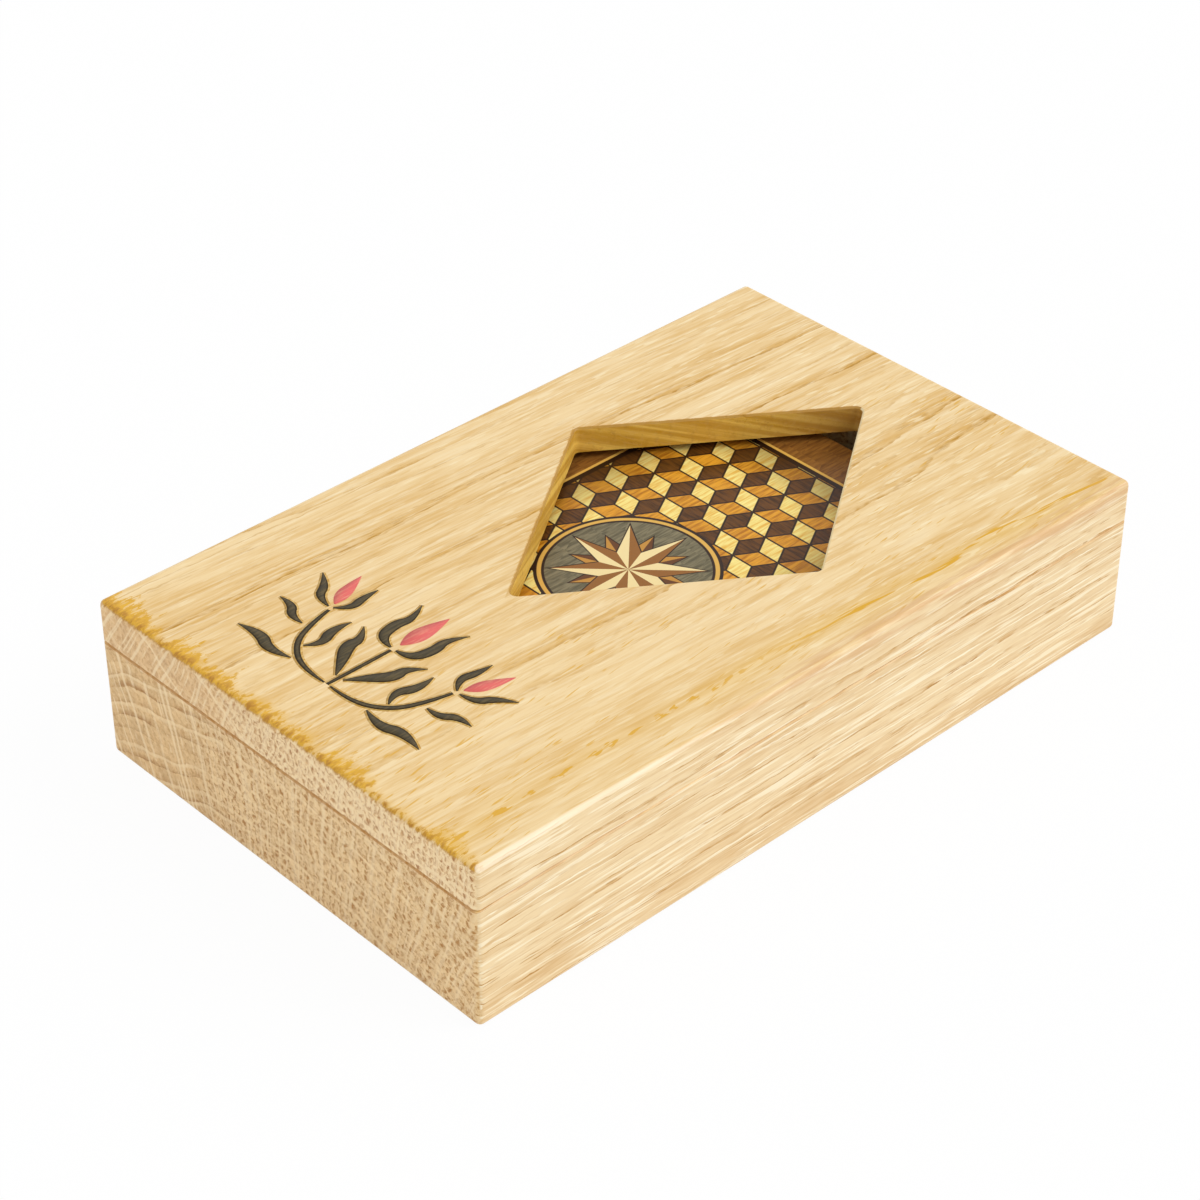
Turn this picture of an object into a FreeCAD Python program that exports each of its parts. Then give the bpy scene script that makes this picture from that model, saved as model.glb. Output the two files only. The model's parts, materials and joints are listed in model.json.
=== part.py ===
import FreeCAD, Part
import math
import os

# Playing card case: two halves milled from solid oak, a pocketed base and a lid with a lozenge window.
# Hidden disc magnets hold the lid, and a pack of cards lies in the pocket, face down.
# Millimetres. X runs along the length, towards the window's end, Y along the width and Z up.
# The origin is the middle of the underside.

# The pack of cards
card_length = 88.0
card_width = 63.0
card_thickness = 0.3
card_corner_radius = 3.5
card_corner_steps = 6
suits = ("diamonds", "clubs", "hearts", "spades")
ranks = ("two", "three", "four", "five", "six", "seven", "eight", "nine", "ten", "jack", "queen", "king", "ace")
jokers = ("black_joker", "red_joker")

# Room around the pack: the play on each side, and how unevenly the cards are squared up within that play
card_play = 0.75
scatter_share = 0.25
scatter_turn_along = 2.4
scatter_turn_across = 4.1

# Wood left around the pocket
end_wall = 16.25
side_wall = 5.5
floor_thickness = 4.0
lid_plate = 4.1

# The pack stands above the base's rim, so that it can be gripped, and has headroom under the lid's plate
pack_stands_proud = 1.4
headroom = 1.1

# Eased edges: the outer corners, the bevels that meet at the parting line, and the rims of the cut-outs
edge_round = 0.9
parting_bevel = 0.2
rim_bevel = 0.25

# Cut-outs: the pocket's corners are left by the milling cutter, the scoops are half-round
pocket_corner_radius = 3.0
scoop_radius = 11.0
scoop_reach = 7.0

# The lozenge window, tip to tip before its corners are rounded, and how far it lies off the case's middle
window_length = 69.0
window_width = 48.4
window_corner_radius = 1.0
window_along = 13.55
window_across = 1.05

# Disc magnets, glued into blind sockets just under the faces that meet
magnet_diameter = 8.0
magnet_thickness = 3.0
magnet_edge_bevel = 0.25
magnet_set_back = 0.15
magnet_glue_gap = 0.05
magnet_from_end = 8.0
magnet_from_side = 9.25

# How far a cutting tool runs past the face that it starts from, and heights that count as one
overrun = 1.0
level_tolerance = 0.01

# Sizes that follow from the values above
card_names = tuple(f"{rank}_of_{suit}" for suit in suits for rank in ranks) + jokers
pack_height = len(card_names) * card_thickness
pocket_length = card_length + 2 * card_play
pocket_width = card_width + 2 * card_play
case_length = pocket_length + 2 * end_wall
case_width = pocket_width + 2 * side_wall
base_height = floor_thickness + pack_height - pack_stands_proud
recess_depth = pack_stands_proud + headroom
lid_top = base_height + recess_depth + lid_plate
magnet_radius = magnet_diameter / 2
socket_radius = magnet_radius + magnet_glue_gap
socket_depth = magnet_thickness + magnet_set_back


def centred_block(length, width, bottom, top):
    """A block with its middle on the Z axis."""
    corner = FreeCAD.Vector(-length / 2, -width / 2, bottom)
    return Part.makeBox(length, width, top - bottom, corner)


def upright_edges(solid):
    """The straight edges that run along Z."""
    return [edge for edge in solid.Edges if edge.BoundBox.ZLength > edge.BoundBox.DiagonalLength / 2]


def lies_at(shape, height):
    """Whether an edge or a face lies flat at one height."""
    bounds = shape.BoundBox
    return max(abs(bounds.ZMin - height), abs(bounds.ZMax - height)) < level_tolerance


def edges_at_height(solid, height):
    """The edges that lie flat at one height."""
    return [edge for edge in solid.Edges if lies_at(edge, height)]


def inner_rim_edges(solid, height):
    """The edges of a cut-out's mouth, inside the outline of the flat face that it is cut into."""
    inner = []
    for face in solid.Faces:
        if lies_at(face, height):
            mouths = [wire for wire in face.Wires if not wire.isSame(face.OuterWire)]
            inner += [edge for wire in mouths for edge in wire.Edges]
    return inner


def eased_board(bottom, top, rounded_face, bevelled_face):
    """A board of the case's outline: rounded corners and one rounded face, the other face bevelled."""
    board = centred_block(case_length, case_width, bottom, top)
    board = board.makeFillet(edge_round, upright_edges(board) + edges_at_height(board, rounded_face))
    return board.makeChamfer(parting_bevel, edges_at_height(board, bevelled_face))


def pocket_cutter(bottom, top):
    """The space of the pack with its play, and a half-round finger scoop past each end."""
    space = centred_block(pocket_length, pocket_width, bottom, top)
    space = space.makeFillet(pocket_corner_radius, upright_edges(space))
    scoop_centre = pocket_length / 2 + scoop_reach - scoop_radius
    for end in (-1, 1):
        foot = FreeCAD.Vector(end * scoop_centre, 0, bottom)
        space = space.fuse(Part.makeCylinder(scoop_radius, top - bottom, foot))
    return space


def window_cutter(bottom, top):
    """An upright lozenge with rounded corners, longer along the case."""
    tips = [
        FreeCAD.Vector(window_along + window_length / 2, window_across, bottom),
        FreeCAD.Vector(window_along, window_across + window_width / 2, bottom),
        FreeCAD.Vector(window_along - window_length / 2, window_across, bottom),
        FreeCAD.Vector(window_along, window_across - window_width / 2, bottom),
    ]
    lozenge = Part.Face(Part.makePolygon(tips + tips[:1]))
    prism = lozenge.extrude(FreeCAD.Vector(0, 0, top - bottom))
    return prism.makeFillet(window_corner_radius, upright_edges(prism))


def magnet_places():
    """The middles of the magnets, beside the scoops in the two thick end walls."""
    along = case_length / 2 - magnet_from_end
    across = case_width / 2 - magnet_from_side
    return [(x, y) for x in (-along, along) for y in (-across, across)]


def sockets(bottom, top):
    """The blind holes for the magnets, as one group of cylinders."""
    holes = [
        Part.makeCylinder(socket_radius, top - bottom, FreeCAD.Vector(x, y, bottom))
        for x, y in magnet_places()
    ]
    return Part.makeCompound(holes)


def case_base():
    """The deep half: a block with the card pocket, the scoops and the magnet sockets in its rim."""
    block = eased_board(0, base_height, 0, base_height)
    block = block.cut(pocket_cutter(floor_thickness, base_height + overrun))
    block = block.makeChamfer(rim_bevel, inner_rim_edges(block, base_height))
    return block.cut(sockets(base_height - socket_depth, base_height + overrun))


def case_lid():
    """The lid: a board with a shallow recess over the pack, the window and the magnet sockets."""
    board = eased_board(base_height, lid_top, lid_top, base_height)
    board = board.cut(pocket_cutter(base_height - overrun, base_height + recess_depth))
    board = board.makeChamfer(rim_bevel, inner_rim_edges(board, base_height))
    board = board.cut(window_cutter(base_height, lid_top + overrun))
    board = board.makeChamfer(rim_bevel, inner_rim_edges(board, lid_top))
    return board.cut(sockets(base_height - overrun, base_height + socket_depth))


def magnets(bottom):
    """Four plated discs with bevelled edges."""
    discs = []
    for x, y in magnet_places():
        disc = Part.makeCylinder(magnet_radius, magnet_thickness, FreeCAD.Vector(x, y, bottom))
        rims = edges_at_height(disc, bottom) + edges_at_height(disc, bottom + magnet_thickness)
        discs.append(disc.makeChamfer(magnet_edge_bevel, rims))
    return Part.makeCompound(discs)


def card_outline(bottom):
    """A card's outline. Each corner turns in short equal steps, because so many cards repeat it."""
    points = []
    for quarter, (end, side) in enumerate(((1, 1), (-1, 1), (-1, -1), (1, -1))):
        centre_x = end * (card_length / 2 - card_corner_radius)
        centre_y = side * (card_width / 2 - card_corner_radius)
        for step in range(card_corner_steps + 1):
            turn = (quarter + step / card_corner_steps) * math.pi / 2
            x = centre_x + card_corner_radius * math.cos(turn)
            y = centre_y + card_corner_radius * math.sin(turn)
            points.append(FreeCAD.Vector(x, y, bottom))
    return Part.Face(Part.makePolygon(points + points[:1]))


def card(place):
    """One card, counted from the bottom of the pack and squared up by hand, so a little off centre."""
    bottom = floor_thickness + place * card_thickness
    sheet = card_outline(bottom).extrude(FreeCAD.Vector(0, 0, card_thickness))
    scatter = scatter_share * card_play
    along = scatter * math.sin(place * scatter_turn_along)
    across = scatter * math.sin(place * scatter_turn_across)
    sheet.translate(FreeCAD.Vector(along, across, 0))
    return sheet


pieces = {
    "case_base": case_base(),
    "case_lid": case_lid(),
    "base_magnets": magnets(base_height - socket_depth),
    "lid_magnets": magnets(base_height + magnet_set_back),
}
for place, name in enumerate(card_names):
    pieces[name] = card(place)

os.makedirs("parts", exist_ok=True)
for node, shape in pieces.items():
    shape.exportStep(f"parts/{node}.step")
    size = shape.BoundBox
    print(f"{node}: {len(shape.Solids)} solid(s), valid {shape.isValid()}, volume {shape.Volume:.1f} mm3,"
          f" {size.XLength:.2f} x {size.YLength:.2f} x {size.ZLength:.2f} mm")
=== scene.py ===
import bpy
import bmesh
import json
import math
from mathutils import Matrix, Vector


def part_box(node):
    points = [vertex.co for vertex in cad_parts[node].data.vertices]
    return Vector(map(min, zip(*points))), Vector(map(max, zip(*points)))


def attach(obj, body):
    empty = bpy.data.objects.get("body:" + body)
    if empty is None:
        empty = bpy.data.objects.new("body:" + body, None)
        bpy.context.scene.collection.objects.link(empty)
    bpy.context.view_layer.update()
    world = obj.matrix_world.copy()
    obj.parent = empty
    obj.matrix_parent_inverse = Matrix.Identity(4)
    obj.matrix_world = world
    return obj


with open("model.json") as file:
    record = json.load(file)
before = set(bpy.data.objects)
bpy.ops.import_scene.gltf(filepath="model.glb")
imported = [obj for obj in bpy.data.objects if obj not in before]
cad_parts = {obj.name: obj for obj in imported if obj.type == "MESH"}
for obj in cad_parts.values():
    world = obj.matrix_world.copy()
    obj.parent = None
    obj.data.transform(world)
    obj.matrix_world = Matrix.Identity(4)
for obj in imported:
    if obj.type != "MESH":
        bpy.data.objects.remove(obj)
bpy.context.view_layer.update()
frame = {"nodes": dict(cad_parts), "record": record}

# The base: a block of pale oak with its grain along the case, milled out for the pack and the finger scoops.
# It is sanded, eased at its edges and oiled. Its long sides show year lines, fibres and fine pores, and its
# ends show dark cut pores with painted shade and highlight halves, pale rays and the bands of the years.
MM = 0.001
PARTING_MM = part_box("case_base")[1][2] / MM
HALF_LENGTH_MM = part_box("case_base")[1][0] / MM
HALF_WIDTH_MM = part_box("case_base")[1][1] / MM
BASE_RELIEF_MM = 0.025
LAYER_MM = 0.9
FINE_RAYS_MM = 1.2
BROAD_RAYS_MM = 4.6
CELL_STRAY = 0.65
SEED_SHIFT_MM = (53.0, 17.0, 31.0)


def tint(red, green, blue):
    """A colour as it looks on a screen, 0 to 255, for a shader's socket."""
    def linear(level):
        share = level / 255
        return share / 12.92 if share <= 0.04045 else ((share + 0.055) / 1.055) ** 2.4
    return (linear(red), linear(green), linear(blue), 1.0)


# Tones of the wood on the broad faces and on the long sides, of what shows on them, and of the cut ends
TOP_PALE, SIDE_PALE = tint(243, 214, 160), tint(240, 214, 167)
TOP_TAN, SIDE_TAN = tint(210, 155, 36), tint(200, 148, 68)
TOP_DARK, SIDE_DARK = tint(188, 134, 0), tint(184, 128, 24)
FIBRE_GLEAM = tint(254, 241, 208)
YEAR_GLEAM = tint(255, 243, 212)
FLECK_PALE = tint(255, 239, 198)
END_GREY = tint(158, 144, 104)
PORE_RIM_AND_HIGHLIGHT = tint(252, 224, 174)
LATEWOOD_PALE = tint(255, 228, 180)
RAY_PALE = tint(255, 230, 184)
SEAM_OIL = tint(180, 116, 0)


class Field:
    """A value that varies over a surface: a node's output, on which arithmetic adds more nodes."""

    def __init__(self, finish, socket):
        self.finish = finish
        self.socket = socket

    def __add__(self, other):
        return self.finish.calc("ADD", self, other)

    def __sub__(self, other):
        return self.finish.calc("SUBTRACT", self, other)

    def __mul__(self, other):
        return self.finish.calc("MULTIPLY", self, other)

    def __truediv__(self, other):
        return self.finish.calc("DIVIDE", self, other)

    def __abs__(self):
        return self.finish.calc("ABSOLUTE", self)

    def step(self, low, high, start=0.0, end=1.0):
        """A smooth step from start to end, as the value goes from low to high."""
        return self.finish.node("MapRange", self, low, high, start, end, interpolation_type="SMOOTHSTEP")


class Finish:
    """A material, built up as fields over the piece's own coordinates in millimetres."""

    def __init__(self, name):
        self.material = bpy.data.materials.new(name)
        self.material.use_nodes = True
        self.tree = self.material.node_tree
        self.shader = self.tree.nodes["Principled BSDF"]
        coords = self.tree.nodes.new("ShaderNodeTexCoord")
        to_mm = (1 / MM, 1 / MM, 1 / MM)
        self.spot = self.node("VectorMath", coords.outputs["Object"], to_mm, operation="MULTIPLY")
        self.x, self.y, self.z = self.parts(self.spot.socket)
        self.facing_x, self.facing_y, self.facing_z = self.parts(coords.outputs["Normal"])

    def node(self, kind, *values, **settings):
        """Adds one shader node. Values fill its inputs in order: a field is linked, a constant is set."""
        made = self.tree.nodes.new("ShaderNode" + kind)
        for setting, choice in settings.items():
            setattr(made, setting, choice)
        for socket, value in zip(made.inputs, values):
            self.feed(socket, value)
        return Field(self, made.outputs[0])

    def feed(self, socket, value):
        """Links a field or a socket to an input, or sets a constant there."""
        if isinstance(value, Field):
            value = value.socket
        if isinstance(value, bpy.types.NodeSocket):
            self.tree.links.new(value, socket)
        elif value is not None:
            socket.default_value = value

    def parts(self, vector):
        """The three parts of a vector."""
        split = self.tree.nodes.new("ShaderNodeSeparateXYZ")
        self.tree.links.new(vector, split.inputs[0])
        return [Field(self, part) for part in split.outputs]

    def calc(self, operation, *values):
        """One step of arithmetic."""
        return self.node("Math", *values, operation=operation)

    def length(self, first, second):
        """How far two distances at right angles reach together."""
        return self.calc("SQRT", first * first + second * second)

    def place(self, x, y, z):
        """A vector of three fields."""
        return self.node("CombineXYZ", x, y, z)

    def noise(self, place, size, detail=2.0, roughness=0.5):
        """Soft noise whose patches have about the given size along each axis of a place."""
        squeezed = self.node("VectorMath", place, tuple(1 / length for length in size), operation="MULTIPLY")
        return self.node("TexNoise", squeezed, None, 1.0, detail, roughness)

    def to_nearest(self, along, pitch):
        """How far a place is from the nearest of the scattered marks that lie about a pitch apart."""
        return self.node("TexVoronoi", None, along, 1 / pitch, voronoi_dimensions="1D") * pitch

    def over(self, under, share, top):
        """Lays a colour over another one, by a share from 0 to 1."""
        mix = self.tree.nodes.new("ShaderNodeMix")
        mix.data_type = "RGBA"
        for socket, value in zip((mix.inputs[0], mix.inputs[6], mix.inputs[7]), (share, under, top)):
            self.feed(socket, value)
        return Field(self, mix.outputs[2])

    def coats(self, colour, *coats):
        """Lays colours over a first one in turn, each of them by its share."""
        for share, top in coats:
            colour = self.over(colour, share, top)
        return colour

    def surface(self, colour, roughness, height, depth_mm):
        """Joins the fields to the shader: colour, roughness and a relief of the given depth."""
        self.feed(self.shader.inputs["Base Color"], colour)
        self.feed(self.shader.inputs["Roughness"], roughness)
        self.feed(self.shader.inputs["Normal"], self.node("Bump", 1.0, depth_mm * MM, None, height))


class Oak(Finish):
    """Oiled oak with its grain along X. Its growth rings curve round a pith that lies beyond the board."""

    def __init__(self, name, pith_y, pith_z, ring_width, slant, seed):
        super().__init__(name)
        self.pith_z = pith_z
        self.seed = seed
        self.side_share = abs(self.facing_y).step(0.5, 0.9)
        self.end_share = abs(self.facing_x).step(0.5, 0.85)
        across = self.y - self.x * slant
        shift_x, shift_y, shift_z = (seed * shift for shift in SEED_SHIFT_MM)
        self.grain = self.place(self.x + shift_x, across + shift_y, self.z + shift_z)

        # The rings wander along the board, and each year shows more or less
        self.wander = self.noise(self.grain, (120, 26, 26)) - 0.5
        self.ripple = self.noise(self.grain, (24, 7, 7)) - 0.5
        self.jag = self.noise(self.grain, (4.0, 1.2, 1.2)) - 0.5
        self.grit = self.noise(self.grain, (1.4, 0.5, 0.5), 1.0) - 0.5
        self.from_pith_y = across - pith_y
        self.from_pith_z = self.z - pith_z
        self.radius = self.length(self.from_pith_y, self.from_pith_z)
        grown = self.radius + self.wander * 7.0 + self.ripple * 1.8 + self.jag * 0.3 + self.grit * 0.2
        self.phase, luck = self.cycle(grown / ring_width)
        self.vigour = luck.step(0.25, 0.8, 0.2, 1.0)
        beads = self.noise(self.grain, (1.6, 0.8, 0.8), 1.0).step(0.4, 0.56, 0.45, 1.0)
        self.year_line = self.phase.step(0.13, 0.05) * self.phase.step(0.0, 0.02) * self.vigour * beads
        self.year_halo = self.phase.step(0.5, 0.04) * self.phase.step(0.0, 0.03) * self.vigour

        # Lines show where the rings meet the face steeply. Fibres and pores are long, thin dashes
        leaning = abs(self.from_pith_y) / self.radius + self.x.step(10, 50, 0.0, 0.16)
        self.steep = self.calc("MAXIMUM", self.side_share, leaning.step(0.14, 0.46))
        self.dashes = self.noise(self.grain, (6.0, 0.9, 0.9), 1.0).step(0.4, 0.58)
        self.fibre = self.noise(self.grain, (7.0, 0.45, 0.45), 2.0, 0.6)
        pore = self.noise(self.grain, (4.0, 0.34, 0.34), 1.0).step(0.58, 0.66)
        self.pore = pore * self.phase.step(0.6, 0.1) * (self.vigour + 0.2) * self.steep

    def cycle(self, count):
        """How far a growing count is past a whole number, and a random share for each whole number."""
        luck = self.node("TexWhiteNoise", None, self.calc("FLOOR", count), noise_dimensions="1D")
        return self.calc("FRACT", count), luck

    def long_grain(self, lines_at_window_end):
        """The colour along the grain: streaks, fibres, flecks, year lines and the layers between them."""
        side = self.side_share
        kept = (self.dashes - 1.0) * side * 0.75 + 1.0
        faint_corner = self.x.step(-10, 20) * self.from_pith_y.step(68, 80) * -0.5 + 1.0
        fading = self.noise(self.grain, (48, 5, 5)).step(0.3, 0.54)
        fading = fading * self.x.step(-20, 40, 1.0, lines_at_window_end)
        fading = fading * self.noise(self.grain, (3.6, 1.2, 1.2)).step(0.4, 0.57, 0.35, 1.0)
        fading = fading * kept * self.steep * faint_corner
        year_band = self.phase.step(0.85, 0.0) * self.vigour
        year_gleam = self.phase.step(0.84, 0.92) * self.phase.step(1.0, 0.96) * self.vigour

        layers = (self.radius + self.ripple * 1.4 + self.jag * 0.5 + self.grit * 0.25) / LAYER_MM
        layer_phase, luck = self.cycle(layers)
        layer_vigour = luck.step(0.2, 1.0) * self.noise(self.grain, (18, 1.6, 1.6)).step(0.42, 0.56)
        layer_vigour = layer_vigour * self.steep * kept * faint_corner
        layer_line = layer_phase.step(0.2, 0.1) * layer_phase.step(0.0, 0.06) * layer_vigour
        layer_gleam = layer_phase.step(0.7, 0.82) * layer_phase.step(1.0, 0.94) * layer_vigour

        shade = self.noise(self.grain, (160, 8, 8)).step(0.35, 0.65, -0.1, 0.14)
        streak = self.noise(self.grain, (16, 1.2, 1.2), 3.0, 0.6).step(0.38, 0.66)
        fibre = self.fibre.step(0.36, 0.66, -0.06, 0.24)
        gleam = self.noise(self.grain, (14, 0.5, 0.5), 1.0).step(0.58, 0.65)
        fleck = self.noise(self.grain, (5.0, 0.55, 0.55), 1.0).step(0.6, 0.68)
        fleck = fleck * self.x.step(-30, 40, 0.28, 0.5) * (side * -0.5 + 1.0)
        tone = year_band * 0.1 + shade + streak * (side * -0.1 + 0.35) + fibre * (side * 0.1 + 0.65)
        pale = self.over(TOP_PALE, side, SIDE_PALE)
        tan = self.over(TOP_TAN, side, SIDE_TAN)
        dark = self.over(TOP_DARK, side, SIDE_DARK)
        return self.coats(
            pale, (tone, tan), (self.year_halo * fading * 0.6, tan),
            (gleam * (side * 0.5 + 0.2), FIBRE_GLEAM),
            (year_gleam * fading * (side * 0.7 + 0.1), YEAR_GLEAM),
            (fleck, FLECK_PALE), (layer_gleam * (side * 0.8 + 0.2), YEAR_GLEAM),
            (layer_line * (side * self.x.step(-50, 0, 0.9, 0.55) + 0.42), dark),
            (self.year_line * fading, dark), (self.pore * (side * 0.2 + 0.35), dark))

    def end_grain(self, pale, dark, pore_width, pores_from_y, bands, pale_rims):
        """The colour across the grain: pores with painted shade and highlight, pith rays and year bands."""
        face = self.place(self.y, self.z, self.seed)
        curl = self.noise(face, (1.0, 1.0, 1.0), 1.0) - 0.5
        cloud = self.noise(face, (5.0, 5.0, 1.0), 3.0, 0.6).step(0.4, 0.65)
        wobble = self.noise(self.place(self.y, self.z, self.seed + 3.0), (0.7, 0.7, 1.0), 2.0, 0.6) - 0.5
        turn = self.calc("ARCTAN2", self.from_pith_y, self.from_pith_z) * abs(self.pith_z)
        turn = turn + self.ripple * 1.2
        across_rays = turn + curl * 0.9 + wobble * 1.2
        along_rays = self.radius - curl * 0.9 + wobble * 1.2
        ray_place = self.place(across_rays, along_rays, 0.0)

        # Pores: painted shade on one half, painted highlight on the other; fewer past one line across the
        # board
        per_cell = (1 / pore_width, 1 / pore_width, 0.0)
        cells = self.node("VectorMath", ray_place, per_cell, operation="MULTIPLY")
        cell, cell_edge = (
            self.node("TexVoronoi", cells, None, 1.0, voronoi_dimensions="2D", feature=measure)
            for measure in ("F1", "DISTANCE_TO_EDGE"))
        for found in (cell, cell_edge):
            found.socket.node.inputs["Randomness"].default_value = CELL_STRAY
        middle = cell.socket.node.outputs["Position"]
        from_core = self.node("VectorMath", cells, middle, operation="SUBTRACT")
        lit_half = (self.parts(from_core.socket)[0] * math.copysign(1.0, self.pith_z)).step(-0.16, 0.16)
        porous = (self.y + self.wander * 30.0).step(pores_from_y + 9.0, pores_from_y - 9.0, 0.3, 1.0)
        latewood = self.phase.step(0.64, 0.84) * self.phase.step(1.0, 0.94) * self.vigour.step(0.15, 0.6)
        worm = self.noise(ray_place, (0.65, 0.65, 1.0), 2.0)
        hole = cell.step(0.56, 0.2)
        # Each pore is darker on its unlit half: painted shade
        core = hole * (lit_half * -0.7 + 1.0) * 0.8 + worm.step(0.5, 0.34) * 0.6
        self.core = core * porous * (latewood * -0.5 + 1.0)
        rim = cell_edge.step(0.36, 0.1) * worm.step(0.38, 0.54, 0.3, 1.0) * pale_rims
        # The lit half of each pore takes the pale rims' colour as a painted highlight
        rim = self.calc("MAXIMUM", rim, hole * lit_half * 0.5) * porous

        # Rays and bands are clearest where the pores are few
        tick = self.noise(ray_place, (0.35, 1.8, 1.0), 1.0).step(0.46, 0.62) * (porous * -0.2 + 0.26)
        broken = self.noise(ray_place, (2.5, 4.0, 1.0)).step(0.4, 0.58)
        fine_ray = self.to_nearest(turn, FINE_RAYS_MM).step(0.2, 0.06) * broken
        ray = self.calc("MAXIMUM", fine_ray, self.to_nearest(turn, BROAD_RAYS_MM).step(0.34, 0.1))
        sawn = self.noise(ray_place, (7.0, 1.6, 1.0)).step(0.36, 0.58, 0.15, 1.0)
        sawn = sawn * (porous * -0.7 + 1.0) * bands
        tone = (self.year_halo * 1.3 + self.year_line) * sawn + tick
        tone = tone + self.fibre.step(0.35, 0.7, 0.0, 0.12) + cloud * 0.18
        return self.coats(
            pale, (tone, dark), (cloud * bands * 0.12, END_GREY),
            (self.core * (1.38 - pale_rims * 0.6), dark), (rim, PORE_RIM_AND_HIGHLIGHT),
            (latewood * (sawn * 0.3 + pale_rims * 0.55), LATEWOOD_PALE),
            (ray * (porous * -0.3 + 0.72), RAY_PALE))

    def board(self, long_grain, end_grain):
        """Both grains on one board, and the oil gathered in the seam, most of all on the end grain."""
        past_end, past_side = abs(self.x) - HALF_LENGTH_MM, abs(self.y) - HALF_WIDTH_MM
        outside = self.calc("MAXIMUM", past_end, past_side).step(-0.5, -0.3)
        seam = abs(self.z - PARTING_MM).step(0.32, 0.22) * outside * abs(self.facing_z).step(0.95, 0.85)
        seam = seam * (self.end_share * (self.dashes * 0.3 + 0.7) + self.side_share * self.dashes * 0.6)
        return self.coats(long_grain, (self.end_share, end_grain), (seam, SEAM_OIL))

    def oil(self, colour, depth_mm):
        """Joins a board's colour to the shader, with the sheen and the relief of oiled wood."""
        relief = self.fibre * 0.4 - self.pore - self.core * self.end_share * 0.3
        self.surface(colour, self.fibre.step(0.3, 0.8, 0.38, 0.54), relief, depth_mm)


def dress(node, finish):
    """Gives a node of the frame its finish."""
    slots = frame["nodes"][node].data.materials
    slots.clear()
    slots.append(finish.material)


base_oak = Oak("oak_base", pith_y=2, pith_z=-82, ring_width=2.0, slant=0.0, seed=1)
base_sides = base_oak.long_grain(lines_at_window_end=1.0)
base_ends = base_oak.end_grain(pale=tint(241, 202, 140), dark=tint(174, 114, 0), pore_width=1.1,
                               pores_from_y=16, bands=1.0, pale_rims=0.45)
base_oak.oil(base_oak.board(base_sides, base_ends), BASE_RELIEF_MM)
dress("case_base", base_oak)

# The magnets: nickel-plated discs, glued just under the faces of the base's rim and of the lid's underside.
# The plating is dulled by fine scuffs, from the discs being pressed home.
SCUFF_RELIEF_MM = 0.01
nickel = Finish("nickel_plating")
nickel.shader.inputs["Metallic"].default_value = 1.0
scuff = nickel.noise(nickel.spot, (0.25, 2.5, 1.0), 3.0, 0.6)
nickel_colour = nickel.over(tint(168, 165, 158), scuff.step(0.35, 0.7), tint(128, 124, 116))
nickel.surface(nickel_colour, scuff.step(0.3, 0.75, 0.42, 0.58), scuff, SCUFF_RELIEF_MM)
for discs in ("base_magnets", "lid_magnets"):
    dress(discs, nickel)

# The pack: 54 cards of coated white stock, face down, with the same print on every back.
# The print looks like inlaid wood: blocks of three tones all over, and a star in a slate roundel in the
# middle, in a frame of thin lines with a plain brown margin.
BLOCK_MM = 6.4
FRAME_LENGTH_MM = 35.5
FRAME_WIDTH_MM = 21.0
ROUNDEL_MM = 11.6
STAR_MM = 10.8
BACK_STAR_MM = STAR_MM * 0.8
STAR_WAIST_MM = 4.4
STAR_POINTS = 8
PRINT_EDGE_MM = 0.1
STOCK_RELIEF_MM = 0.01
THIRD_TURN = 2 * math.pi / 3
DARK_LINE = tint(46, 26, 12)
GOLD_LINE = tint(226, 178, 84)
stock = Finish("card_stock")
stock.shader.inputs["Specular IOR Level"].default_value = 0.2


def block_spot(finish, width, height, shift):
    """A place within the nearest block of one of the two grids that make up the honeycomb."""
    x = finish.calc("WRAP", finish.x + width * shift, width / 2, -width / 2)
    y = finish.calc("WRAP", finish.y + height * shift, height / 2, -height / 2)
    return x, y, finish.length(x, y)


# The blocks: each six-sided cell is split into three faces of one tone each, with dark lines between them
block_height = BLOCK_MM * math.sqrt(3)
even_x, even_y, even_reach = block_spot(stock, BLOCK_MM, block_height, 0.0)
odd_x, odd_y, odd_reach = block_spot(stock, BLOCK_MM, block_height, 0.5)
in_even = stock.calc("LESS_THAN", even_reach, odd_reach)
block_x = odd_x + (even_x - odd_x) * in_even
block_y = odd_y + (even_y - odd_y) * in_even
block_reach = stock.calc("MINIMUM", even_reach, odd_reach)
block_turn = stock.calc("ARCTAN2", block_y, block_x) / THIRD_TURN - 0.75
face_number = stock.calc("FLOORED_MODULO", stock.calc("FLOOR", block_turn), 3.0)
is_front = stock.calc("COMPARE", face_number, 1.0, 0.4)
is_gold = stock.calc("COMPARE", face_number, 2.0, 0.4)
from_spoke = abs(stock.calc("WRAP", block_turn, 0.5, -0.5)) * THIRD_TURN
spoke_gap = block_reach * stock.calc("SINE", from_spoke)
rim_gap = abs(block_x) * 0.5 + abs(block_y) * math.sqrt(0.75)
rim_gap = stock.calc("MAXIMUM", abs(block_x), rim_gap) * -1.0 + BLOCK_MM / 2
line_gap = stock.calc("MINIMUM", spoke_gap, rim_gap)
veneer_place = stock.place(stock.x, stock.y, face_number * 9.0)
veneer_long = stock.noise(veneer_place, (5.0, 0.5, 1.0), 3.0, 0.6)
veneer_cross = stock.noise(veneer_place, (0.5, 5.0, 1.0), 3.0, 0.6)
veneer = (veneer_long + (veneer_cross - veneer_long) * is_front).step(0.35, 0.7)
light_face = stock.over(tint(255, 238, 148), veneer, tint(236, 184, 76))
gold_face = stock.over(tint(234, 166, 46), veneer, tint(180, 112, 22))
dark_face = stock.over(tint(108, 66, 20), veneer, tint(62, 36, 10))
print_colour = stock.coats(
    light_face, (is_gold, gold_face), (is_front, dark_face), (line_gap.step(0.2, 0.1), DARK_LINE))

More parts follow.
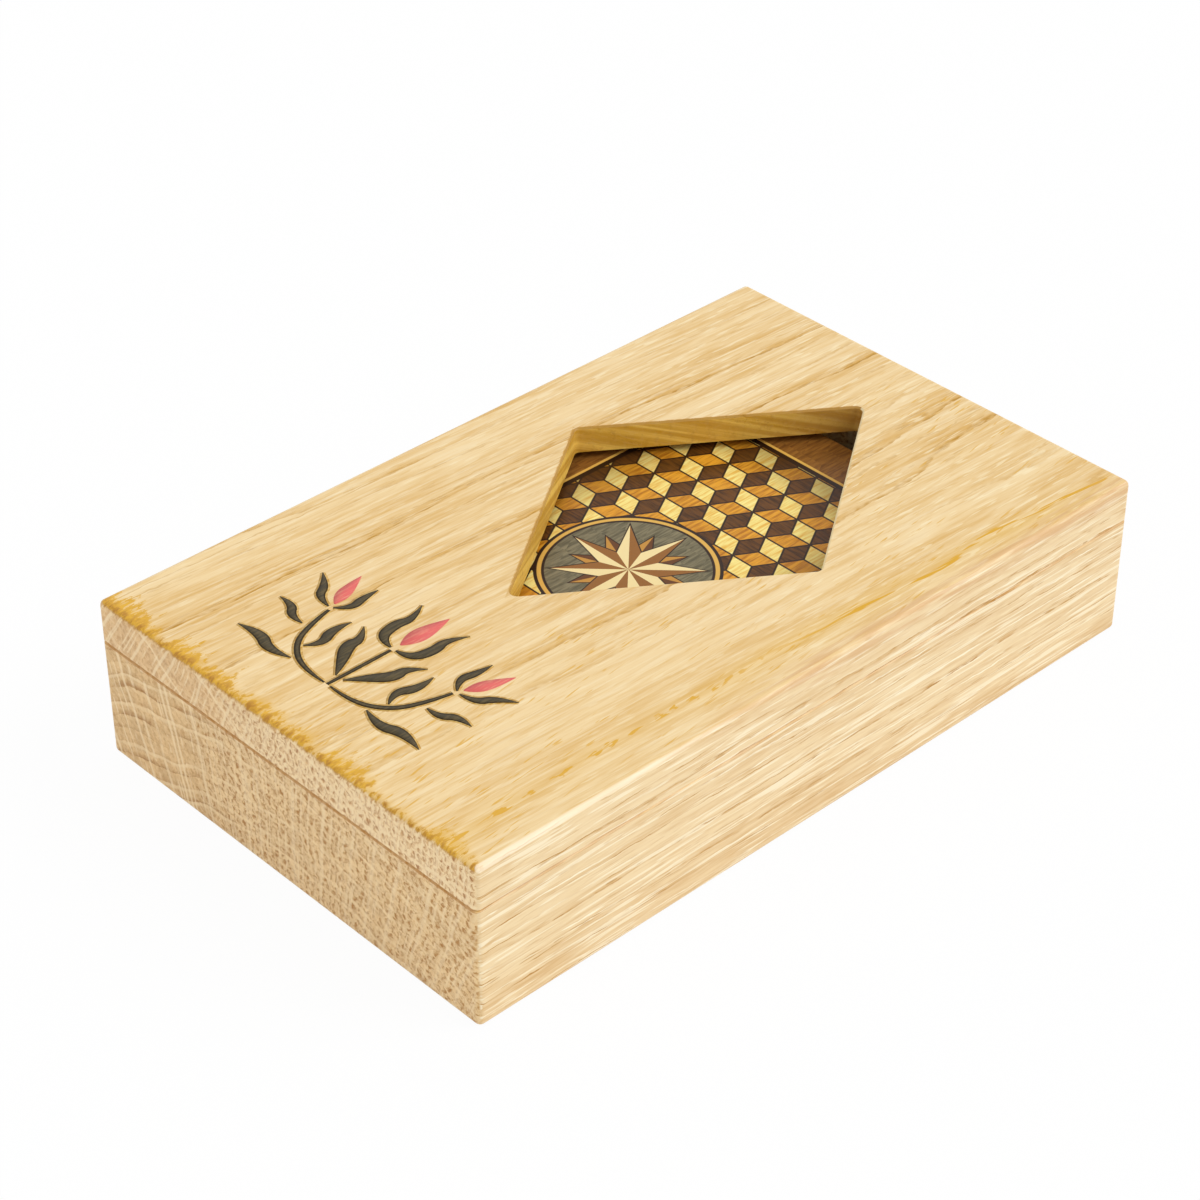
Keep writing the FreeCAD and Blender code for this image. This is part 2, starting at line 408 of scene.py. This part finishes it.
# The roundel: two stars of eight points, one behind the other, each point split into a light and a dark half
reach = stock.length(stock.x, stock.y)
heading = stock.calc("ARCTAN2", stock.y, stock.x)
smooth_veneer = veneer_long.step(0.3, 0.7)
slate = stock.over(tint(138, 128, 98), smooth_veneer, tint(90, 84, 62))
for past, tone in ((1.5, DARK_LINE), (1.0, GOLD_LINE), (0.4, DARK_LINE), (0.0, slate)):
    disc = reach.step(ROUNDEL_MM + past, ROUNDEL_MM + past - PRINT_EDGE_MM)
    print_colour = stock.over(print_colour, disc, tone)
half_point = math.pi / STAR_POINTS
waist_x = STAR_WAIST_MM * math.cos(half_point)
waist_y = STAR_WAIST_MM * math.sin(half_point)
for tip, lean, light, dark in ((BACK_STAR_MM, half_point, tint(198, 142, 60), tint(104, 62, 28)),
                               (STAR_MM, 0.0, tint(246, 224, 164), tint(150, 98, 42))):
    folded = stock.calc("PINGPONG", heading + lean, half_point)
    flank = math.hypot(tip - waist_x, waist_y)
    inside = stock.calc("SINE", folded) * reach * ((waist_x - tip) / flank)
    inside = inside - (stock.calc("COSINE", folded) * reach - tip) * (waist_y / flank)
    half = stock.calc("FLOORED_MODULO", stock.calc("FLOOR", (heading + lean) / half_point), 2.0)
    print_colour = stock.coats(print_colour, (inside.step(-0.2, -0.12), DARK_LINE),
                               (inside.step(-0.02, 0.06), stock.over(light, half, dark)))

# The print darkens towards its frame. Outside it are the brown margin, and the white edges and faces
outside_frame = stock.calc("MAXIMUM", abs(stock.x) - FRAME_LENGTH_MM, abs(stock.y) - FRAME_WIDTH_MM)
print_colour = stock.over(print_colour, outside_frame.step(-9.0, 0.0, 0.0, 0.45), tint(58, 34, 16))
margin = stock.over(tint(156, 106, 46), smooth_veneer, tint(112, 70, 28))
for past, tone in ((-0.1, DARK_LINE), (0.8, GOLD_LINE), (1.3, margin)):
    print_colour = stock.over(print_colour, outside_frame.step(past, past + PRINT_EDGE_MM), tone)
paper = stock.noise(stock.spot, (0.8, 0.8, 0.12), 2.0)
paper_colour = stock.over(tint(240, 235, 224), paper.step(0.35, 0.7, 0.0, 0.8), tint(222, 213, 196))
stock_colour = stock.over(paper_colour, stock.facing_z.step(0.5, 0.7), print_colour)
stock.surface(stock_colour, paper.step(0.3, 0.7, 0.30, 0.40), paper, STOCK_RELIEF_MM)
for card in frame["record"]["behaviour"]["bodies"]["pack"]:
    dress(card, stock)

# The lid: a thinner oak board, recessed underneath over the pack, with the lozenge window cut through it.
# The oil has soaked deep into its cut ends and turned ochre: on the end edge and on the window's walls.
LID_TOP_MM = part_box("case_lid")[1][2] / MM
LID_RELIEF_MM = 0.035
WINDOW_LENGTH_MM = 69.0
WINDOW_WIDTH_MM = 48.4
openings = {way["name"]: way["box_m"] for way in frame["record"]["physics"]["openings"]}
window_low, window_high = openings["window_middle"]
window_x = (window_low[0] + window_high[0]) / 2 / MM
window_y = (window_low[1] + window_high[1]) / 2 / MM
lid_oak = Oak("oak_lid", pith_y=-50, pith_z=140, ring_width=2.1, slant=-0.03, seed=2)
lid_sides = lid_oak.long_grain(lines_at_window_end=1.3)
lid_ends = lid_oak.end_grain(pale=tint(239, 196, 134), dark=tint(166, 106, 34), pore_width=1.2,
                             pores_from_y=10, bands=0.25, pale_rims=0.95)
lid_colour = lid_oak.board(lid_sides, lid_ends)
on_top = lid_oak.facing_z.step(0.8, 0.95)
inward = lid_oak.x + HALF_LENGTH_MM

# Along the end edge the stain runs in from the end grain in clumps and ragged spikes, darkest at the edge
clumps = lid_oak.noise(lid_oak.spot, (1.8, 0.9, 1.4), 4.0, 0.7)
pools = lid_oak.noise(lid_oak.spot, (20.0, 4.5, 20.0), 1.0)
pool_reach = pools.step(0.3, 0.6, 1.0, 2.8)
spikes = lid_oak.noise(lid_oak.spot, (9.0, 0.6, 3.0), 2.0, 0.6) * pools.step(0.3, 0.55, 0.75, 1.0)
fewer_gaps = lid_oak.y.step(-5, 20, 0.1, 0.45)
soaked = (clumps.step(0.4, 0.62) + fewer_gaps) * pool_reach + spikes.step(0.52, 0.7, 0.0, 2.4)
near_top = (lid_oak.z + clumps * 1.2).step(LID_TOP_MM, LID_TOP_MM + 0.4)
end_stain = (soaked - inward).step(-0.3, 0.7) * near_top
stain_haze = (pool_reach + clumps - inward).step(-0.4, 1.8) * near_top
ochre = lid_oak.coats(
    tint(228, 174, 30), (clumps.step(0.42, 0.66) * inward.step(2.2, 0.4, 0.25, 1.0), tint(180, 120, 0)),
    (near_top.step(1.0, 0.5) * 0.6, tint(152, 92, 6)))
lid_colour = lid_oak.coats(lid_colour, (stain_haze * 0.5, tint(228, 178, 60)), (end_stain * 0.95, ochre))

# Golden oil is left in single pores of the near half, in a bent row of them beside the long edge,
# and further along that row in longer streaks
DROP_PITCH_MM = 3.4
GOLD_ROW_X_MM = -30.0
GOLD_ROW_Y_MM = -31.3
GOLD_ROW_BEND = 0.0006
DASH_SLANT = 0.12
along_row = lid_oak.x - GOLD_ROW_X_MM
row_sway = lid_oak.noise(lid_oak.spot, (18.0, 40.0, 40.0), 1.0) - 0.5
gold_row = lid_oak.y - GOLD_ROW_Y_MM + along_row * along_row * GOLD_ROW_BEND + row_sway * 3.0
dash_place = lid_oak.place(lid_oak.x, lid_oak.y - lid_oak.x * DASH_SLANT, 0.0)
short_dash = lid_oak.noise(dash_place, (2.2, 0.5, 1.0), 1.0)
long_dash = lid_oak.noise(dash_place, (4.0, 0.4, 1.0), 1.0)
row_streak = lid_oak.noise(lid_oak.place(lid_oak.x, gold_row, 0.0), (8.0, 0.5, 1.0), 2.0)
gold_patch = lid_oak.noise(lid_oak.spot, (16.0, 5.0, 5.0), 1.0).step(0.42, 0.6)
gold_patch = lid_oak.calc("MAXIMUM", gold_patch, inward.step(18, 6))
from_drop = lid_oak.to_nearest(lid_oak.x, DROP_PITCH_MM)
drops = (short_dash * 3.0 - abs(gold_row) * 1.4 - from_drop * 0.5).step(0.9, 1.15)
drops = drops * lid_oak.x.step(10, -20) * 0.9
from_streak = abs(gold_row - lid_oak.x.step(26, 36, 0.0, 1.5))
streaks = (row_streak * 3.2 - from_streak).step(1.3, 1.6) * lid_oak.x.step(-15, 10)
scattered = long_dash.step(0.62, 0.7) * gold_patch * lid_oak.y.step(16, -8) * 0.75
gold_share = lid_oak.calc("MAXIMUM", lid_oak.calc("MAXIMUM", drops, streaks), scattered)
gold_haze = abs(gold_row).step(3.5, 0.0) * lid_oak.x.step(-20, 20, 0.15, 0.25) * (gold_patch * 0.5 + 0.5)
lid_colour = lid_oak.coats(
    lid_colour, (gold_haze * on_top, tint(240, 198, 92)), (gold_share * on_top, tint(222, 166, 14)))

# The long edge beside it bears a painted highlight at one end, and is browned by handling further on
EDGE_HIGHLIGHT_SLANT = 0.006
edge_depth = lid_oak.calc("MAXIMUM", lid_oak.y + HALF_WIDTH_MM, lid_oak.z * -1.0 + LID_TOP_MM)
browned = lid_oak.noise(lid_oak.spot, (12.0, 0.8, 0.8), 3.0, 0.6).step(0.4, 0.6)
edge_reach = lid_oak.y - lid_oak.z + inward * EDGE_HIGHLIGHT_SLANT + (HALF_WIDTH_MM + LID_TOP_MM)
# A pale cream band along the middle of the edge's rounding: painted highlight
painted_edge_highlight = edge_reach.step(0.86, 0.68) * (browned * 0.2 + 0.45)
handled = edge_depth.step(3.6, 0.8) * browned * lid_oak.x.step(-30, 0, 0.0, 0.7)
lid_colour = lid_oak.coats(lid_colour, (painted_edge_highlight, tint(255, 240, 212)), (handled, tint(216, 168, 112)))

# The window's walls are soaked all over. Its far rims are dark with oil; its near ones bear a painted
# highlight
from_window_x, from_window_y = abs(lid_oak.x - window_x), abs(lid_oak.y - window_y)
lozenge = from_window_x / (WINDOW_LENGTH_MM / 2) + from_window_y / (WINDOW_WIDTH_MM / 2)
wall_share = lozenge.step(1.06, 1.03) * abs(lid_oak.facing_z).step(0.9, 0.6)
bands = lid_oak.noise(lid_oak.place(lid_oak.x + lid_oak.z * 3.2, lid_oak.y, 0.0), (4.0, 30.0, 1.0), 3.0)
# Towards the window's sharp far tip the walls darken: painted shade in the narrow corner
far_tip_shade = lid_oak.x.step(window_x + 18, window_x + 34, 0.0, 0.6)
wall_ochre_and_shade = lid_oak.coats(
    tint(252, 210, 92), (bands.step(0.36, 0.6), tint(208, 156, 24)),
    (clumps.step(0.5, 0.7) * 0.35, tint(176, 120, 10)), (far_tip_shade, tint(150, 98, 24)))
far_half = lid_oak.y.step(window_y - 1.0, window_y + 2.0)
rim_soak = lozenge.step(1.024, 1.016) * on_top * far_half * clumps.step(0.36, 0.56, 0.1, 0.8)
rim_share = lozenge.step(1.045, 1.03) * lid_oak.facing_z.step(0.5, 0.6) * lid_oak.facing_z.step(0.9, 0.8)
# The near rims' bevels get a pale painted highlight, the far rims' bevels dark oil
rim_oil_and_highlight = lid_oak.over(tint(255, 238, 190), lid_oak.facing_y.step(0.1, -0.1), tint(170, 120, 10))
lid_colour = lid_oak.coats(
    lid_colour, (wall_share * 0.9, wall_ochre_and_shade), (rim_soak, tint(196, 142, 24)), (rim_share * 0.8, rim_oil_and_highlight))
lid_oak.oil(lid_colour, LID_RELIEF_MM)
dress("case_lid", lid_oak)

# The ornament: three tulips with leaves, printed in dark brown and red on the plain end of the lid.
# The ink lies on the wood as a thin film. Its oil has drawn an ochre fringe round every brown stroke,
# and the middles of the broad strokes are worn grey.
ORNAMENT_X_MM = -41.0
ORNAMENT_Y_MM = 2.5
FRINGE_MM = 0.012
FRINGE_WIDTH_MM = 0.28
INK_MM = 0.03
WORN_MM = 0.04
WORN_MARGIN_MM = 0.24
SUNK_MM = 0.01
THINNEST_MM = 0.03
MERGE_MM = 0.001
INK_RELIEF_MM = 0.01
# Each stroke: the points that pull its line, to the side and up, and its width at each of them.
# Strokes off the middle line are drawn on both sides of it
BROWN_STROKES = (
    ((0.0, -9.6, 0.5), (0.0, -4.0, 0.8), (0.0, 1.0, 0.5)),
    ((0.5, 1.4, 0.3), (3.0, 1.6, 1.6), (4.0, 5.0, 1.9), (3.2, 7.6, 1.2), (4.8, 10.4, 0.1)),
    ((0.7, -7.6, 0.2), (2.6, -5.0, 1.7), (4.7, -2.4, 2.2), (4.4, -0.2, 1.3), (6.4, 1.8, 0.1)),
    ((0.6, -9.6, 0.3), (5.0, -9.8, 0.8), (9.6, -7.2, 0.9), (11.6, -2.8, 0.8), (12.4, 0.8, 0.5)),
    ((12.4, 1.5, 0.25), (10.6, 3.2, 1.3), (11.4, 5.8, 1.4), (11.4, 8.4, 0.1)),
    ((13.1, 1.3, 0.25), (15.7, 1.6, 1.3), (17.0, 4.0, 1.4), (19.6, 5.6, 0.1)),
    ((7.6, -9.4, 0.2), (11.0, -10.6, 1.6), (14.4, -8.8, 1.9), (18.2, -9.8, 0.1)),
    ((8.6, -6.6, 0.2), (7.0, -4.6, 1.4), (8.8, -1.8, 1.8), (8.2, 1.2, 0.1)),
    ((12.5, -3.6, 0.2), (14.8, -3.8, 1.3), (16.6, -1.8, 1.4), (19.2, -2.0, 0.1)),
)
RED_STROKES = (
    ((0.0, 2.6, 0.2), (0.0, 4.2, 2.6), (0.0, 7.4, 2.8), (0.0, 11.0, 0.1)),
    ((12.9, 2.2, 0.2), (13.5, 3.4, 2.0), (14.4, 5.8, 2.1), (15.4, 8.8, 0.1)),
)


def print_spot(side, up):
    """A point of the print, which reads from the plain end: its side is along -Y, its top towards +X."""
    return Vector((ORNAMENT_X_MM + up, ORNAMENT_Y_MM - side, LID_TOP_MM - SUNK_MM)) * MM


def stroke_ribbons(strokes, grow):
    """The strokes as flat ribbons along smooth curves, each grown by a margin on both flanks."""
    lines = bpy.data.curves.new("strokes", "CURVE")
    lines.dimensions = "3D"
    lines.twist_mode = "Z_UP"
    lines.extrude = MM
    for points in strokes:
        on_middle = all(side == 0.0 for side, up, width in points)
        for mirror in (1,) if on_middle else (1, -1):
            line = lines.splines.new("NURBS")
            line.points.add(len(points) - 1)
            for point, (side, up, width) in zip(line.points, points):
                point.co = (*print_spot(mirror * side, up), 1.0)
                point.radius = max(width / 2 + grow, THINNEST_MM)
                point.tilt = math.pi / 2
            line.order_u = 3
            line.use_endpoint_u = True
    holder = bpy.data.objects.new("strokes", lines)
    ribbons = bpy.data.meshes.new_from_object(holder)
    bpy.data.objects.remove(holder)
    return ribbons


def print_film(name, strokes, grow, height, finish):
    """All strokes of one ink as one thin film on the lid."""
    film = bmesh.new()
    film.from_mesh(stroke_ribbons(strokes, grow))
    bmesh.ops.remove_doubles(film, verts=film.verts[:], dist=MERGE_MM * MM)
    lifted = bmesh.ops.extrude_face_region(film, geom=film.faces[:], use_keep_orig=True)["geom"]
    lifted = [corner for corner in lifted if isinstance(corner, bmesh.types.BMVert)]
    bmesh.ops.translate(film, verts=lifted, vec=(0.0, 0.0, (SUNK_MM + height) * MM))
    bmesh.ops.recalc_face_normals(film, faces=film.faces[:])
    mesh = bpy.data.meshes.new(name)
    film.to_mesh(mesh)
    film.free()
    mesh.materials.append(finish.material)
    piece = bpy.data.objects.new(name, mesh)
    bpy.context.scene.collection.objects.link(piece)
    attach(piece, "lid")


def ink(name, fresh, wear, worn, gloss, patch=(3.0, 0.35, 1.0), detail=3.0, shine=0.5):
    """An ink or oil on the lid, worn in patches along the grain: from fresh to worn, as the wear goes up."""
    finish = Finish(name)
    finish.shader.inputs["Specular IOR Level"].default_value = shine
    wearing = finish.noise(finish.place(finish.x, finish.y, 0.0), patch, detail, 0.6)
    colour = finish.over(fresh, wearing.step(*wear), worn)
    finish.surface(colour, wearing.step(0.3, 0.7, *gloss), wearing, INK_RELIEF_MM)
    return finish


brown_ink = ink("brown_ink", tint(48, 36, 8), (0.5, 0.75), tint(84, 64, 22), gloss=(0.5, 0.65), shine=0.2)
worn_ink = ink("worn_ink", tint(72, 64, 46), (0.4, 0.7), tint(104, 90, 62), gloss=(0.55, 0.7), shine=0.2)
red_ink = ink("red_ink", tint(226, 100, 94), (0.45, 0.75), tint(238, 150, 124), gloss=(0.5, 0.65))
fringe_oil = ink("fringe_oil", tint(196, 146, 46), (0.38, 0.64), tint(228, 190, 112), gloss=(0.4, 0.55),
                 patch=(1.6, 0.5, 1.0), detail=2.0)
print_film("ornament_fringe", BROWN_STROKES, FRINGE_WIDTH_MM, FRINGE_MM, fringe_oil)
print_film("ornament_leaves", BROWN_STROKES, 0.0, INK_MM, brown_ink)
print_film("ornament_worn_middles", BROWN_STROKES, -WORN_MARGIN_MM, WORN_MM, worn_ink)
print_film("ornament_petals", RED_STROKES, 0.0, INK_MM, red_ink)

# The studio: a plain white floor that keeps the case's shadow, and soft light from above, stronger on the
# window's side. Floor and sky look white where they are seen, whatever light they give.
FLOOR_SIZE_M = 8.0
FLOOR_GLOW = 0.95
SKY_LIGHT = 0.78
KEY_LIGHT = 1.1
KEY_SPREAD_DEG = 36
KEY_FROM = Vector((0.50, -0.56, 0.66))


def seen_directly(tree):
    """A socket that is 1 for rays from the camera, off glossy pieces and through clear ones, and else 0."""
    path = tree.nodes.new("ShaderNodeLightPath")
    seen = path.outputs["Is Camera Ray"]
    for kind in ("Is Glossy Ray", "Is Transmission Ray"):
        either = tree.nodes.new("ShaderNodeMath")
        either.operation = "MAXIMUM"
        tree.links.new(seen, either.inputs[0])
        tree.links.new(path.outputs[kind], either.inputs[1])
        seen = either.outputs[0]
    return seen


floor_mesh = bpy.data.meshes.new("floor")
floor_shape = bmesh.new()
bmesh.ops.create_grid(floor_shape, x_segments=1, y_segments=1, size=FLOOR_SIZE_M / 2)
floor_shape.to_mesh(floor_mesh)
floor_shape.free()
floor = bpy.data.objects.new("floor", floor_mesh)
bpy.context.scene.collection.objects.link(floor)
floor_paint = Finish("floor_white")
floor_paint.shader.inputs["Base Color"].default_value = tint(248, 248, 248)
floor_paint.shader.inputs["Roughness"].default_value = 0.9
floor_paint.shader.inputs["Specular IOR Level"].default_value = 0.0
floor_tree = floor_paint.tree
floor_glow = floor_tree.nodes.new("ShaderNodeEmission")
floor_mix = floor_tree.nodes.new("ShaderNodeMixShader")
floor_paint.feed(floor_mix.inputs[0], Field(floor_paint, seen_directly(floor_tree)) * FLOOR_GLOW)
floor_paint.feed(floor_mix.inputs[1], floor_paint.shader.outputs[0])
floor_paint.feed(floor_mix.inputs[2], floor_glow.outputs[0])
floor_paint.feed(floor_tree.nodes["Material Output"].inputs["Surface"], floor_mix.outputs[0])
floor_mesh.materials.append(floor_paint.material)

world = bpy.data.worlds.new("studio")
world.use_nodes = True
bpy.context.scene.world = world
sky_tree = world.node_tree
sky = sky_tree.nodes["Background"]
sky.inputs["Color"].default_value = (1.0, 1.0, 1.0, 1.0)
sky_level = sky_tree.nodes.new("ShaderNodeMapRange")
sky_level.inputs["To Min"].default_value = SKY_LIGHT
sky_level.inputs["To Max"].default_value = 1.0
sky_tree.links.new(seen_directly(sky_tree), sky_level.inputs["Value"])
sky_tree.links.new(sky_level.outputs[0], sky.inputs["Strength"])

key = bpy.data.lights.new("key", "SUN")
key.energy = KEY_LIGHT
key.angle = math.radians(KEY_SPREAD_DEG)
key_lamp = bpy.data.objects.new("key", key)
key_lamp.rotation_mode = "QUATERNION"
key_lamp.rotation_quaternion = KEY_FROM.to_track_quat("Z", "Y")
bpy.context.scene.collection.objects.link(key_lamp)

# The camera: it stands where the photograph was taken from, above the corner of the plain end and the near
# side, and looks down at the middle of the case through a long lens.
CAMERA_PLACE = Vector((-241.62, -251.45, 264.93)) * MM
CAMERA_AIM = Vector((-0.562, 5.057, 12.7)) * MM
LENS_MM = 93.46
lens = bpy.data.cameras.new("camera")
lens.lens = LENS_MM
camera = bpy.data.objects.new("camera", lens)
camera.location = CAMERA_PLACE
camera.rotation_mode = "QUATERNION"
camera.rotation_quaternion = (CAMERA_AIM - CAMERA_PLACE).to_track_quat("-Z", "Y")
bpy.context.scene.collection.objects.link(camera)
bpy.context.scene.camera = camera
bpy.context.scene.view_settings.view_transform = "Standard"
